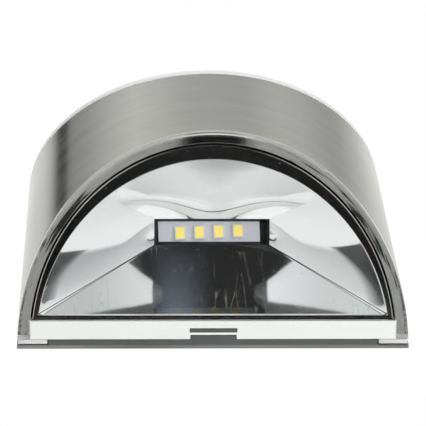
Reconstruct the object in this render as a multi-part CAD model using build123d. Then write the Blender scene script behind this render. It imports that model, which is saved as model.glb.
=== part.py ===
from build123d import *
import os
from math import acos, asin, cos, degrees, radians, sin

os.makedirs("parts", exist_ok=True)

# Half-round solar wall light. The wall is the plane y = 0, the lamp stands out from it
# towards -Y and Z is up. The lit end is below, the solar end above. Sizes are in millimetres.

# Overall form
half_width = 50.0  # radius of the half-round shell
wall_height = 82.7  # height of the shell at the wall
slant = 23.65  # slope of both end faces, degrees
fit = 0.2  # clearance round pieces that are set into each other

# Steel band
sheet = 0.8
lip_width = 2.4  # folded lip along the arch of each end
lip_start = 3.0  # distance from the wall at which the lips begin

# Clear covers
cover_thickness = 2.2
cover_round = 0.5

# Wall plate and wall bracket
plate_thickness = 0.8
plate_gap = 0.2  # from the plate to the lamp's rear edges
bracket_thickness = 1.2
bracket_gap = 0.2  # from the bracket to the housing's back
channel_width = 7.2  # open channel between bracket and band
hang_drop = 11.35  # from the shell's top at the wall down to the bracket's upper edge
tab_width = 11.4
tab_rise = 1.0
tab_height = 6.5
wall_screw_spacing = 60.0
wall_screw_hole = 4.5
wall_screw_head = 7.0

# Keyhole lugs
lug_spacing = 52.0
lug_drop = 6.0  # below the bracket's upper edge
lug_stem = 5.0
lug_head = 9.0
lug_head_thickness = 1.8
lift_travel = 7.0  # from hanging to free
keyhole_gap = 0.4
pocket_wall = 1.2

# Housing
shell_wall = 2.0
back_wall = 3.0
ledge_width = 3.4  # white ledge beside the reflector's mouth
sill_reach = 7.0  # from the wall edge along the slanted face to the sill's front
sill_inset = 1.0  # from the lip's inner radius to the sill's ends
foot_height = 3.0  # white feet under the clear cover's corners
bridge_width = 0.52  # bar between the tab's notch and the slot
slot_gap = 1.05
slot_length = 12.2
slot_depth = 10.0
seat_width = 1.0  # shoulder under the reflector's flange
seat_thickness = 1.5

# Gasket and reflector, measured along the slanted face
gasket_thickness = 2.0
gasket_side = 1.5
gasket_crown = 2.85
gasket_floor = 1.1
flange_thickness = 1.0
reflector_wall = 1.1
reflector_depth = 14.0  # from the outer face down to the window for the diodes
window_width = 30.0
window_height = 6.9
window_reach = 28.55  # from the wall edge to the window's middle
collar_depth = 1.2
collar_inset = 0.8
ridge_spread = 62.0  # distance between the ridges where they meet the arch

# Diode strip
strip_length = 26.4
strip_width = 8.5
strip_thickness = 1.2
strip_shift = -0.7
strip_askew = 2.3  # degrees
diode_count = 4
diode_pitch = 5.03
diode_width = 2.8
diode_length = 3.5
diode_height = 0.7
phosphor_margin = 0.35
phosphor_depth = 0.4
holder_length = 46.0  # bar that clamps the strip to the reflector
holder_thickness = 1.5
holder_screw_edge = 3.0  # from the bar's ends to its screws
strip_boss = 5.0

# Small pan-head screws
screw_shank = 2.0
screw_head = 3.6
screw_head_height = 1.2
strip_screw_length = 4.0
board_screw_length = 3.6
screw_fit = 0.05

# Solar end
tray_thickness = 3.8
panel_width = 56.0
panel_length = 30.0
panel_thickness = 1.2
panel_start = 8.0  # from the wall edge, along the slanted face
panel_sink = 0.6  # from the cover to the panel's board
cell_count = 5
cell_gap = 0.6
cell_margin = 1.2
cell_thickness = 0.3
lead_hole = 4.0

# Battery and its box
battery_diameter = 14.2
battery_length = 49.0  # without the positive cap
cap_diameter = 5.4
cap_height = 1.4
base_diameter = 11.0
base_height = 0.3
battery_height = 1.0
battery_play = 0.5
contact_room = 3.4  # from the battery's ends to the box's end walls
box_wall = 1.5
contact_thickness = 0.4
contact_width = 8.0
contact_length = 11.0

# Battery door
door_thickness = 1.2
door_margin = 2.2  # overlap of the door beyond the opening
seal_thickness = 0.5
seal_width = 1.2
door_screw_shank = 2.5
door_screw_head = 4.4
door_screw_length = 7.0
door_boss = 5.4
door_boss_length = 7.0

# Control board
control_width = 34.0
control_length = 15.0
control_thickness = 1.2
post_length = 3.0
post_diameter = 4.6
post_spacing = 27.0
chip_width = 5.0
chip_length = 4.2
chip_height = 1.6
chip_place = -6.0
pin_width = 0.4
pin_reach = 1.0
pin_count = 4
inductor_diameter = 6.0
inductor_height = 6.0
inductor_flange = 1.0
inductor_waist = 4.6
inductor_place = 6.0

# On/off slide switch
switch_drop = 4.0  # below the lugs
switch_width = 8.6
switch_length = 4.6
switch_depth = 4.0
switch_travel = 2.0
knob_width = 2.2
knob_length = 1.8
knob_foot = 1.4
knob_sink = 0.4  # from the housing's back to the knob's tip
knob_gap = 0.3
finger_width = 12.0
finger_length = 7.0
finger_depth = 0.9
cradle_wall = 1.0
cradle_height = 2.5

# Heights at which the lamp hangs, and the lugs and the switch sit
bracket_top = wall_height / 2 - hang_drop
lug_height = bracket_top - lug_drop
switch_height = lug_height - switch_drop

# Distances from the wall, and depths below the slanted faces, that several pieces share
lamp_back = plate_thickness + plate_gap
bracket_front = plate_thickness + bracket_thickness
housing_back = bracket_front + bracket_gap
cavity_back = housing_back + back_wall
ledge_front = housing_back + ledge_width
lip_depth = cover_thickness + sheet
gasket_depth = cover_thickness + gasket_thickness
flange_depth = gasket_depth + flange_thickness
strip_depth = reflector_depth + collar_depth
holder_depth = strip_depth + strip_thickness
strip_screw_spacing = holder_length - 2 * holder_screw_edge

# Radii of the nested half-round walls
band_inner = half_width - sheet
lip_inner = half_width - lip_width
housing_radius = band_inner - fit
housing_inner = housing_radius - shell_wall
insert_radius = housing_inner - fit
bracket_half_width = band_inner - channel_width
sill_half_width = lip_inner - sill_inset

# Reflector's mouth on the slanted face
mouth_half_width = insert_radius - gasket_side
mouth_reach = insert_radius / cos(radians(slant)) - gasket_crown
gasket_edge = ledge_front + fit + cover_thickness * sin(radians(slant))
mouth_floor = gasket_edge / cos(radians(slant)) + gasket_floor

# Battery box
battery_out = housing_back + door_thickness + battery_play + battery_diameter / 2
box_half_length = battery_length / 2 + cap_height + contact_room
box_half_height = battery_diameter / 2 + battery_play
box_front = battery_out + box_half_height
door_screw_place = box_half_length + (box_wall + door_boss) / 2
door_half_length = door_screw_place + door_boss / 2
door_half_height = box_half_height + door_margin
control_out = box_front + box_wall + post_length

# The lit end's face: local X across, local Y out from the wall along the slope
lens_plane = Plane(
    origin=(0, 0, -wall_height / 2),
    x_dir=(1, 0, 0),
    z_dir=(0, -sin(radians(slant)), -cos(radians(slant))),
)
solar_plane = Plane(
    origin=(0, 0, wall_height / 2),
    x_dir=(-1, 0, 0),
    z_dir=(0, -sin(radians(slant)), cos(radians(slant))),
)
reach = 4 * (half_width + wall_height)


def block(low, high):
    """Box between two opposite corners."""
    size = [b - a for a, b in zip(low, high)]
    middle = [(a + b) / 2 for a, b in zip(low, high)]
    return Pos(*middle) * Box(*size)


def half_round(radius, back):
    """Tall column with a half-round plan, flat at the given distance from the wall."""
    plan = Circle(radius) & Pos(0, -back - reach / 2) * Rectangle(reach, reach)
    return extrude(plan, amount=reach, both=True)


def lens_layer(first, last):
    """Slab between two depths below the lit face."""
    return extrude(lens_plane.offset(-first) * Rectangle(reach, reach), amount=first - last)


def solar_layer(first, last):
    """Slab between two depths below the solar face."""
    return extrude(solar_plane.offset(-first) * Rectangle(reach, reach), amount=first - last)


def core(inset):
    """All that lies at least so deep below both slanted faces."""
    return lens_layer(inset, reach / 2) & solar_layer(inset, reach / 2)


def across(radius, length, x, out, z):
    """Round bar square to the wall, reaching from the given distance further out."""
    return Pos(x, -out - length / 2, z) * Rot(90, 0, 0) * Cylinder(radius, length)


def beside(distance):
    """The two mirrored places at half the given distance."""
    return (-distance / 2, distance / 2)


def steel_band():
    skin = half_round(half_width, lamp_back) - half_round(band_inner, -half_width)
    lip = half_round(half_width, lip_start) - half_round(lip_inner, -half_width)
    lips = (lip & lens_layer(cover_thickness, lip_depth)) + (lip & solar_layer(cover_thickness, lip_depth))
    return (skin & core(cover_thickness)) + lips


def rounded_cover(plate, outer_plane):
    """Cover plate with its arch edge softened on the outer face."""
    arches = plate.edges().filter_by(GeomType.ELLIPSE)
    outer = [edge for edge in arches if abs(outer_plane.to_local_coords(edge.center()).Z) < fit / 2]
    return fillet(outer, cover_round)


def sill_block(grow):
    """Slab of the cover's thickness along the wall edge of the lit face, where the white sill lies."""
    outline = Rectangle(2 * (sill_half_width + grow), 2 * (sill_reach + grow))
    slab = extrude(lens_plane * outline, amount=-cover_thickness)
    return slab & half_round(reach, housing_back - grow)


def lens_cover():
    plate = half_round(half_width, lamp_back) & lens_layer(0, cover_thickness)
    side = bracket_half_width + fit
    plate -= block((-side, -housing_back, -reach), (side, 0, 0))
    plate -= sill_block(fit)
    return rounded_cover(plate, lens_plane)


def solar_cover():
    plate = half_round(half_width, lamp_back) & solar_layer(0, cover_thickness)
    return rounded_cover(plate, solar_plane)


def tab_notch():
    """Space for the bracket's tab in the white sill."""
    side = tab_width / 2 + fit
    front = bracket_front + tab_rise + fit
    return block((-side, -front, -wall_height), (side, 0, tab_height + fit - wall_height / 2))


def wall_plate():
    plate = block((-half_width, -plate_thickness, -wall_height), (half_width, 0, wall_height))
    plate &= core(0)
    for x in beside(wall_screw_spacing):
        plate -= across(wall_screw_hole / 2, plate_thickness, x, 0, 0)
    return plate


def wall_bracket():
    side = bracket_half_width
    body = block((-side, -bracket_front, -wall_height), (side, -plate_thickness, bracket_top))
    tab = block(
        (-tab_width / 2, -bracket_front - tab_rise, -wall_height),
        (tab_width / 2, -bracket_front, tab_height - wall_height / 2),
    )
    body = (body + tab) & lens_layer(0, reach / 2)
    for x in beside(lug_spacing):
        stem_length = bracket_gap + back_wall + keyhole_gap
        body += across(lug_stem / 2, stem_length, x, bracket_front, lug_height)
        body += across(lug_head / 2, lug_head_thickness, x, bracket_front + stem_length, lug_height)
    for x in beside(wall_screw_spacing):
        body -= across(wall_screw_hole / 2, bracket_thickness, x, plate_thickness, 0)
        sink = Cone(wall_screw_hole / 2, wall_screw_head / 2, bracket_thickness)
        body -= Pos(x, -plate_thickness - bracket_thickness / 2, 0) * Rot(90, 0, 0) * sink
    return body


def keyhole(x):
    """Opening for one lug: a round hole below, and a slot up to where the lamp hangs."""
    hole = across(lug_head / 2 + keyhole_gap, back_wall, x, housing_back, lug_height - lift_travel)
    half_slot = lug_stem / 2 + keyhole_gap
    end = across(half_slot, back_wall, x, housing_back, lug_height)
    run = block(
        (x - half_slot, -cavity_back, lug_height - lift_travel), (x + half_slot, -housing_back, lug_height)
    )
    return hole + end + run


def keyhole_pocket(x):
    """Closed pocket behind one keyhole, so that no rain gets in. Gives the outside and the hollow."""
    half = lug_head / 2 + 2 * keyhole_gap
    low = lug_height - lift_travel - half
    high = lug_height + half
    front = cavity_back + lug_head_thickness + 3 * keyhole_gap
    hollow = block((x - half, -front, low), (x + half, -cavity_back, high))
    grown = half + pocket_wall
    outside = block(
        (x - grown, -front - pocket_wall, low - pocket_wall), (x + grown, -cavity_back, high + pocket_wall)
    )
    return outside, hollow


def housing():
    shell = half_round(housing_radius, housing_back) & core(lip_depth)
    shell -= half_round(housing_inner, cavity_back)

    # White ledge along the wall edge of the lit end; its sill is flush with the cover's face
    ledge = half_round(lip_inner - fit, housing_back) - half_round(2 * half_width, ledge_front)
    ledge &= lens_layer(cover_thickness, gasket_depth)
    shell += ledge + sill_block(0)

    # Feet beside the bracket, under the cover's corners
    feet = half_round(lip_inner - fit, lamp_back) - half_round(2 * half_width, housing_back)
    side = bracket_half_width + 2 * fit
    feet -= block((-side, -reach, -reach), (side, reach, reach))
    shell += feet & lens_layer(cover_thickness, cover_thickness + foot_height)

    # Notch for the bracket's tab, and the slot
    shell -= tab_notch()
    slot_back = bracket_front + tab_rise + fit + bridge_width
    slot = block(
        (-slot_length / 2, -slot_back - slot_gap, -wall_height), (slot_length / 2, -slot_back, 0)
    )
    shell -= slot & lens_layer(0, slot_depth)

    # Rim above the bracket: the lamp hangs on the bracket's upper edge by it
    rim = half_round(lip_inner - fit, lamp_back) - half_round(2 * half_width, cavity_back)
    rim &= core(cover_thickness)
    rim &= block((-reach, -reach, bracket_top), (reach, reach, reach))
    shell += rim

    # Shoulder under the reflector's flange
    seat = half_round(housing_inner + fit, ledge_front) - half_round(housing_inner - seat_width, -half_width)
    shell += seat & lens_layer(flange_depth, flange_depth + seat_thickness)

    # Battery box, open to the back, and the door's recess round the opening
    inner = block(
        (-box_half_length, -box_front, battery_height - box_half_height),
        (box_half_length, -housing_back, battery_height + box_half_height),
    )
    outer = block(
        (-box_half_length - box_wall, -box_front - box_wall, battery_height - box_half_height - box_wall),
        (box_half_length + box_wall, -cavity_back, battery_height + box_half_height + box_wall),
    )
    shell += outer
    shell -= inner
    shell -= block(
        (-door_half_length - fit, -housing_back - door_thickness - seal_thickness,
         battery_height - door_half_height - fit),
        (door_half_length + fit, -housing_back, battery_height + door_half_height + fit),
    )
    for x in beside(2 * door_screw_place):
        shell += across(door_boss / 2, door_boss_length, x, cavity_back, battery_height)
        hole = door_screw_shank / 2 + screw_fit
        shell -= across(hole, door_screw_length + screw_fit, x, housing_back, battery_height)

    # Keyholes for the lugs, each with its pocket
    for x in beside(lug_spacing):
        outside, hollow = keyhole_pocket(x)
        shell += outside
        shell -= hollow
        shell -= keyhole(x)

    # Posts for the control board on the battery box
    for x in beside(post_spacing):
        shell += across(post_diameter / 2, post_length, x, box_front + box_wall, battery_height)
        hole_length = board_screw_length - control_thickness + screw_fit
        shell -= across(screw_shank / 2 + screw_fit, hole_length, x, control_out - hole_length, battery_height)

    # Cradle, window and finger recess of the switch
    half_cradle_width = switch_width / 2 + fit + cradle_wall
    half_cradle_length = switch_length / 2 + fit + cradle_wall
    shell += block(
        (-half_cradle_width, -cavity_back - cradle_height, switch_height - half_cradle_length),
        (half_cradle_width, -cavity_back, switch_height + half_cradle_length),
    )
    shell -= block(
        (-switch_width / 2 - fit, -cavity_back - cradle_height, switch_height - switch_length / 2 - fit),
        (switch_width / 2 + fit, -cavity_back, switch_height + switch_length / 2 + fit),
    )
    half_window = (knob_width + switch_travel) / 2 + knob_gap
    shell -= block(
        (-half_window, -cavity_back, switch_height - knob_length / 2 - knob_gap),
        (half_window, -housing_back, switch_height + knob_length / 2 + knob_gap),
    )
    shell -= block(
        (-finger_width / 2, -housing_back - finger_depth, switch_height - finger_length / 2),
        (finger_width / 2, -housing_back, switch_height + finger_length / 2),
    )
    return shell


def mouth_face(grow, depth):
    """Outline of the reflector's mouth at a depth: floor line, two side arcs, crown between the ridges."""
    wide = mouth_half_width + grow
    tall = mouth_reach + grow
    floor = mouth_floor - grow
    corner = degrees(asin(floor / tall))
    ridge = degrees(acos(ridge_spread / 2 / mouth_half_width))
    foot = wide * cos(radians(corner))
    line = Line((-foot, floor), (foot, floor))
    right = EllipticalCenterArc((0, 0), wide, tall, corner, arc_size=ridge - corner)
    crown = EllipticalCenterArc((0, 0), wide, tall, ridge, arc_size=180 - 2 * ridge)
    left = EllipticalCenterArc((0, 0), wide, tall, 180 - ridge, arc_size=ridge - corner)
    return lens_plane.offset(-depth) * make_face([line, right, crown, left])


def window_face(grow, depth):
    """Outline of the diode window at a depth."""
    outline = Rectangle(window_width + 2 * grow, window_height + 2 * grow)
    return lens_plane.offset(-depth) * Pos(0, window_reach) * outline


def mouth_column(first, last):
    """Straight passage with the mouth's outline between two depths."""
    return extrude(mouth_face(0, first), amount=first - last)


def lens_gasket():
    back = ledge_front + fit
    rim = half_round(lip_inner - fit, back) & lens_layer(cover_thickness, lip_depth)
    body = half_round(insert_radius, back) & lens_layer(cover_thickness, gasket_depth)
    return rim + body - mouth_column(0, reflector_depth)


def strip_place(depth):
    """Plane of the diode strip at a depth: a little askew and off the middle, as it was fitted."""
    return lens_plane.offset(-depth) * Pos(strip_shift, window_reach) * Rot(0, 0, strip_askew)


def reflector():
    flange = half_round(insert_radius, ledge_front + fit) & lens_layer(gasket_depth, flange_depth)
    outside = loft(
        [mouth_face(reflector_wall, gasket_depth), window_face(reflector_wall, reflector_depth)], ruled=True
    )
    inside = loft([mouth_face(0, gasket_depth), window_face(0, reflector_depth)], ruled=True)
    collar = extrude(window_face(reflector_wall, reflector_depth), amount=-collar_depth)
    passage = loft(
        [window_face(0, reflector_depth), window_face(-collar_inset, strip_depth)], ruled=True
    )
    body = flange + (outside & half_round(insert_radius, cavity_back + fit)) + collar
    for x in beside(strip_screw_spacing):
        boss = Pos(x, 0, 0) * Circle(strip_boss / 2)
        body += extrude(strip_place(holder_depth) * boss, amount=holder_depth - flange_depth)
    body = body - inside - passage
    hole_length = strip_screw_length - holder_thickness + screw_fit
    for x in beside(strip_screw_spacing):
        hole = Pos(x, 0, 0) * Circle(screw_shank / 2 + screw_fit)
        body -= extrude(strip_place(holder_depth) * hole, amount=hole_length)
    return body


def led_board():
    outline = Rectangle(strip_length, strip_width)
    return extrude(strip_place(strip_depth) * outline, amount=-strip_thickness)


def strip_holder():
    """Bar behind the diode strip, screwed to the reflector's bosses."""
    outline = Rectangle(holder_length, strip_width)
    for x in beside(strip_screw_spacing):
        outline -= Pos(x, 0) * Circle(screw_shank / 2 + screw_fit)
    return extrude(strip_place(holder_depth) * outline, amount=-holder_thickness)


def diode_places():
    first = -(diode_count - 1) * diode_pitch / 2
    return [first + index * diode_pitch for index in range(diode_count)]


def phosphor_outline(x):
    return Pos(x, 0) * Rectangle(diode_width - 2 * phosphor_margin, diode_length - 2 * phosphor_margin)


def led_packages():
    bodies = []
    for x in diode_places():
        body = extrude(strip_place(strip_depth) * Pos(x, 0) * Rectangle(diode_width, diode_length), diode_height)
        top = strip_place(strip_depth - diode_height)
        bodies.append(body - extrude(top * phosphor_outline(x), -phosphor_depth))
    return bodies


def led_phosphors():
    floor = strip_place(strip_depth - diode_height + phosphor_depth)
    return [extrude(floor * phosphor_outline(x), phosphor_depth) for x in diode_places()]


def pan_screw(length):
    """Screw with its head above z = 0 and its shank below."""
    head = Pos(0, 0, screw_head_height / 2) * Cylinder(screw_head / 2, screw_head_height)
    head = chamfer(head.edges().group_by(Axis.Z)[-1], screw_head_height / 3)
    return head + Pos(0, 0, -length / 2) * Cylinder(screw_shank / 2, length)


def led_board_screws():
    seat = strip_place(holder_depth + holder_thickness) * Rot(180, 0, 0)
    return [seat * Pos(x, 0, 0) * pan_screw(strip_screw_length) for x in beside(strip_screw_spacing)]


def panel_tray():
    rim = half_round(lip_inner - fit, cavity_back + fit) & solar_layer(cover_thickness, lip_depth)
    depth = cover_thickness + tray_thickness
    body = half_round(insert_radius, cavity_back + fit) & solar_layer(cover_thickness, depth)
    pocket_depth = panel_sink + panel_thickness
    pocket = Rectangle(panel_width + 2 * fit, panel_length + 2 * fit)
    tray = rim + body - extrude(panel_place(cover_thickness) * pocket, amount=-pocket_depth)
    return tray - extrude(panel_place(cover_thickness) * Circle(lead_hole / 2), amount=-2 * tray_thickness)


def panel_place(depth):
    """Plane at the solar panel's middle, at a depth below the solar face."""
    return solar_plane.offset(-depth) * Pos(0, panel_start + panel_length / 2)


def solar_panel():
    depth = cover_thickness + panel_sink
    return extrude(panel_place(depth) * Rectangle(panel_width, panel_length), amount=-panel_thickness)


def solar_cells():
    room = panel_width - 2 * cell_margin + cell_gap
    pitch = room / cell_count
    floor = panel_place(cover_thickness + panel_sink)
    outline = Rectangle(pitch - cell_gap, panel_length - 2 * cell_margin)
    places = [(index - (cell_count - 1) / 2) * pitch for index in range(cell_count)]
    return [extrude(floor * Pos(x, 0) * outline, amount=cell_thickness) for x in places]


def along(radius, length, x):
    """Round bar on the battery's axis, from x onwards."""
    return Pos(x + length / 2, -battery_out, battery_height) * Rot(0, 90, 0) * Cylinder(radius, length)


def battery():
    can = along(battery_diameter / 2, battery_length, -battery_length / 2)
    return chamfer(can.edges().filter_by(GeomType.CIRCLE), base_height)


def battery_terminals():
    cap = along(cap_diameter / 2, cap_height, battery_length / 2)
    base = along(base_diameter / 2, base_height, -battery_length / 2 - base_height)
    return [cap, base]


def contact_positive():
    """Stamped plate with a raised button that meets the battery's cap."""
    half = contact_length / 2
    plate = block(
        (box_half_length - contact_thickness, -battery_out - half, battery_height - contact_width / 2),
        (box_half_length, -battery_out + half, battery_height + contact_width / 2),
    )
    rise = contact_room - contact_thickness
    button = Cone(contact_width / 2, cap_diameter / 2, rise)
    middle = box_half_length - contact_thickness - rise / 2
    return plate + Pos(middle, -battery_out, battery_height) * Rot(0, -90, 0) * button


def contact_negative():
    """Bent leaf spring that presses on the battery's base."""
    half = contact_length / 2
    wall = -box_half_length + contact_thickness / 2
    tip = -battery_length / 2 - base_height - contact_thickness
    line = Polyline((wall, -half), (wall, half), (tip, 0), (tip - contact_room / 3, -half / 2))
    strip = trace(line, contact_thickness)
    leaf = extrude(strip, amount=contact_width / 2, both=True)
    return Pos(0, -battery_out, battery_height) * leaf


def battery_door():
    door = block(
        (-door_half_length, -housing_back - door_thickness, battery_height - door_half_height),
        (door_half_length, -housing_back, battery_height + door_half_height),
    )
    for screw in door_screws(screw_fit):
        door -= screw
    return door


def door_screws(grow=0.0):
    """Countersunk screws flush with the door. With a clearance they are the cutters of their holes."""
    screws = []
    for x in beside(2 * door_screw_place):
        shank = across(door_screw_shank / 2 + grow, door_screw_length, x, housing_back, battery_height)
        head = Cone(door_screw_shank / 2 + grow, door_screw_head / 2 + grow, door_thickness)
        place = Pos(x, -housing_back - door_thickness / 2, battery_height) * Rot(-90, 0, 0)
        screws.append(shank + place * head)
    return screws


def door_seal():
    outline = Rectangle(2 * (box_half_length + seal_width), 2 * (box_half_height + seal_width))
    outline -= Rectangle(2 * box_half_length, 2 * box_half_height)
    place = wall_side(housing_back + door_thickness)
    return extrude(place * outline, amount=seal_thickness)


def control_board():
    outline = Rectangle(control_width, control_length)
    for x in beside(post_spacing):
        outline -= Pos(x, 0) * Circle(screw_shank / 2 + screw_fit)
    return extrude(wall_side(control_out) * outline, amount=control_thickness)


def wall_side(out):
    """Plane through the battery's height at a distance from the wall, facing away from it."""
    return Plane(origin=(0, -out, battery_height), x_dir=(1, 0, 0), z_dir=(0, -1, 0))


def board_screws():
    seat = wall_side(control_out + control_thickness)
    return [seat * Pos(x, 0, 0) * pan_screw(board_screw_length) for x in beside(post_spacing)]


def driver_chip():
    """Four-pin driver in a flat package lying on the board."""
    top = wall_side(control_out + control_thickness) * Pos(chip_place, 0)
    body = extrude(top * Rectangle(chip_width, chip_length), amount=chip_height)
    pitch = chip_width / pin_count
    for index in range(pin_count):
        x = (index - (pin_count - 1) / 2) * pitch
        pin = Pos(x, -chip_length / 2) * Rectangle(pin_width, 2 * pin_reach)
        body += extrude(top * pin, amount=pin_width)
    return body


def inductor():
    """Drum core with its winding, standing on the board."""
    core_bar = Cylinder(inductor_diameter / 2, inductor_height)
    waist_height = inductor_height - 2 * inductor_flange
    groove = Cylinder(inductor_diameter, waist_height) - Cylinder(inductor_waist / 2, waist_height)
    top = wall_side(control_out + control_thickness)
    return top * Pos(inductor_place, 0, inductor_height / 2) * (core_bar - groove)


def switch_body():
    body = block(
        (-switch_width / 2, -cavity_back - switch_depth, switch_height - switch_length / 2),
        (switch_width / 2, -cavity_back, switch_height + switch_length / 2),
    )
    half_window = (knob_width + switch_travel) / 2 + knob_gap
    return body - block(
        (-half_window, -cavity_back - knob_foot, switch_height - knob_length / 2 - knob_gap),
        (half_window, -cavity_back, switch_height + knob_length / 2 + knob_gap),
    )


def switch_knob():
    """Slider, drawn at the off end of its travel."""
    middle = -switch_travel / 2
    return block(
        (middle - knob_width / 2, -cavity_back - knob_foot, switch_height - knob_length / 2),
        (middle + knob_width / 2, -housing_back - knob_sink, switch_height + knob_length / 2),
    )


pieces = {
    "wall_plate": wall_plate,
    "wall_bracket": wall_bracket,
    "steel_band": steel_band,
    "housing": housing,
    "lens_cover": lens_cover,
    "lens_gasket": lens_gasket,
    "reflector": reflector,
    "led_board": led_board,
    "led_packages": led_packages,
    "led_phosphors": led_phosphors,
    "strip_holder": strip_holder,
    "led_board_screws": led_board_screws,
    "solar_cover": solar_cover,
    "panel_tray": panel_tray,
    "solar_panel": solar_panel,
    "solar_cells": solar_cells,
    "battery": battery,
    "battery_terminals": battery_terminals,
    "contact_positive": contact_positive,
    "contact_negative": contact_negative,
    "battery_door": battery_door,
    "door_seal": door_seal,
    "door_screws": door_screws,
    "control_board": control_board,
    "board_screws": board_screws,
    "driver_chip": driver_chip,
    "inductor": inductor,
    "switch_body": switch_body,
    "switch_knob": switch_knob,
}

for name, make in pieces.items():
    shape = make()
    if isinstance(shape, list):
        shape = Compound(children=shape)
    export_step(shape, f"parts/{name}.step")
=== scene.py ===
import math

import bmesh
import bpy
import numpy as np
from mathutils import Matrix


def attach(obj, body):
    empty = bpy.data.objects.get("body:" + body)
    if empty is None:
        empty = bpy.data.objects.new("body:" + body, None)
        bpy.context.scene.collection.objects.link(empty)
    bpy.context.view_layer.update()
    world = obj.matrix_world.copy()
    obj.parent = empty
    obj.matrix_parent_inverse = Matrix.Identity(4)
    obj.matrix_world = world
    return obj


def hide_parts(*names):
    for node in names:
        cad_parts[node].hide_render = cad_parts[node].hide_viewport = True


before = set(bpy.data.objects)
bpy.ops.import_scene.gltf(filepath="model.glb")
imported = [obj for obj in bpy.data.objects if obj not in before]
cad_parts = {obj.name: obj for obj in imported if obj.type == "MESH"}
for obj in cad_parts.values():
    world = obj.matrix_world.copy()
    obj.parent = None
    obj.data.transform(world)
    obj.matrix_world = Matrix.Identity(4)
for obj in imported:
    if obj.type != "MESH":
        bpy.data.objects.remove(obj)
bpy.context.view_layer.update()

# Wall plate: a thin stainless sheet, sheared to the lamp's slanted outline and screwed flat on the wall
# through two holes. Its lower edge is the pale line along the wall side of the lit end.


def linear(colour):
    """An sRGB hex colour as linear red, green, blue and alpha 1. Dark channels are divided by 12.92, the
    others are shifted, scaled and raised to the power 2.4."""
    channels = [int(colour[place:place + 2], 16) / 255 for place in (0, 2, 4)]
    return [c / 12.92 if c <= 0.04045 else ((c + 0.055) / 1.055) ** 2.4 for c in channels] + [1.0]


def finish(name):
    """An empty material made of nodes."""
    made = bpy.data.materials.new(name)
    made.use_nodes = True
    made.node_tree.nodes.clear()
    return made


def add(owner, kind, inputs=None, **settings):
    """Adds one node. Settings are its own values; inputs are socket values, or the node or socket that
    feeds them. A number is a socket's place: a Map Range has its limits, from and to, at 1 to 4, and a
    colour Mix has its two colours at 6 and 7 and its result at output 2."""
    tree = owner.node_tree
    node = tree.nodes.new("ShaderNode" + kind)
    for name, value in settings.items():
        setattr(node, name, value)
    for name, value in (inputs or {}).items():
        if isinstance(value, bpy.types.Node):
            value = value.outputs[0]
        if isinstance(value, bpy.types.NodeSocket):
            tree.links.new(value, node.inputs[name])
        else:
            node.inputs[name].default_value = value
    return node


def dress(material, *names):
    """Gives CAD nodes a finish."""
    for name in names:
        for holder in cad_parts[name].material_slots:
            holder.material = material


# Cold-rolled stainless sheet, lightly ground lengthways: a soft grey shine with fine level lines.
# The real lines are 0.05 mm apart, too fine to show, so they are drawn 0.5 mm apart and 30 mm long.
ground_sheet = finish("ground stainless sheet")
spot = add(ground_sheet, "TexCoord")
drawn_out = add(ground_sheet, "Mapping", {"Vector": spot.outputs["Object"], "Scale": (33.0, 33.0, 2000.0)})
lines = add(ground_sheet, "TexNoise", {"Vector": drawn_out, "Scale": 1.0, "Detail": 4.0, "Roughness": 0.6})
cloud = add(ground_sheet, "TexNoise", {"Vector": spot.outputs["Object"], "Scale": 45.0, "Detail": 2.0})
matt = add(ground_sheet, "MapRange", {"Value": lines, 1: 0.3, 2: 0.7, 3: 0.3, 4: 0.46})
tone = add(ground_sheet, "Mix", {
    "Factor": cloud, 6: linear("A9AAA6"), 7: linear("BFC0BC"),
}, data_type="RGBA")
ridges = add(ground_sheet, "Bump", {"Height": lines, "Strength": 0.12, "Distance": 0.00005})
steel = add(ground_sheet, "BsdfPrincipled", {
    "Base Color": tone.outputs[2], "Metallic": 1.0, "Roughness": matt.outputs[0], "Normal": ridges,
})
add(ground_sheet, "OutputMaterial", {"Surface": steel})
dress(ground_sheet, "wall_plate")

# Wall bracket: a dark grey moulding that sits on the plate. The lamp hangs on its upper edge and on its
# two lugs, and its centre tab fits the notch in the lamp's white ledge.
# Spark-eroded ABS: a dull, slightly grainy grey; the grain is 0.4 mm.
grey_abs = finish("dark grey moulded ABS")
spot = add(grey_abs, "TexCoord")
grain = add(grey_abs, "TexNoise", {"Vector": spot.outputs["Object"], "Scale": 2500.0, "Detail": 2.0})
cloud = add(grey_abs, "TexNoise", {"Vector": spot.outputs["Object"], "Scale": 120.0, "Detail": 3.0})
tone = add(grey_abs, "Mix", {"Factor": cloud, 6: linear("464949"), 7: linear("5A5D5C")}, data_type="RGBA")
matt = add(grey_abs, "MapRange", {"Value": grain, 1: 0.3, 2: 0.7, 3: 0.42, 4: 0.58})
pits = add(grey_abs, "Bump", {"Height": grain, "Strength": 0.15, "Distance": 0.00004})
plastic = add(grey_abs, "BsdfPrincipled", {
    "Base Color": tone.outputs[2], "Roughness": matt.outputs[0], "IOR": 1.53, "Normal": pits,
})
add(grey_abs, "OutputMaterial", {"Surface": plastic})
dress(grey_abs, "wall_bracket")

# Steel band: the half-round shell, rolled from 0.8 mm stainless sheet. Both slanted ends have a narrow
# lip folded inwards, on which the clear covers lie.
height = 82.7
slope = math.radians(23.65)
band_radius, sheet, cover = 50.0, 0.8, 2.2
lamp_back = 1.0


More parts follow.
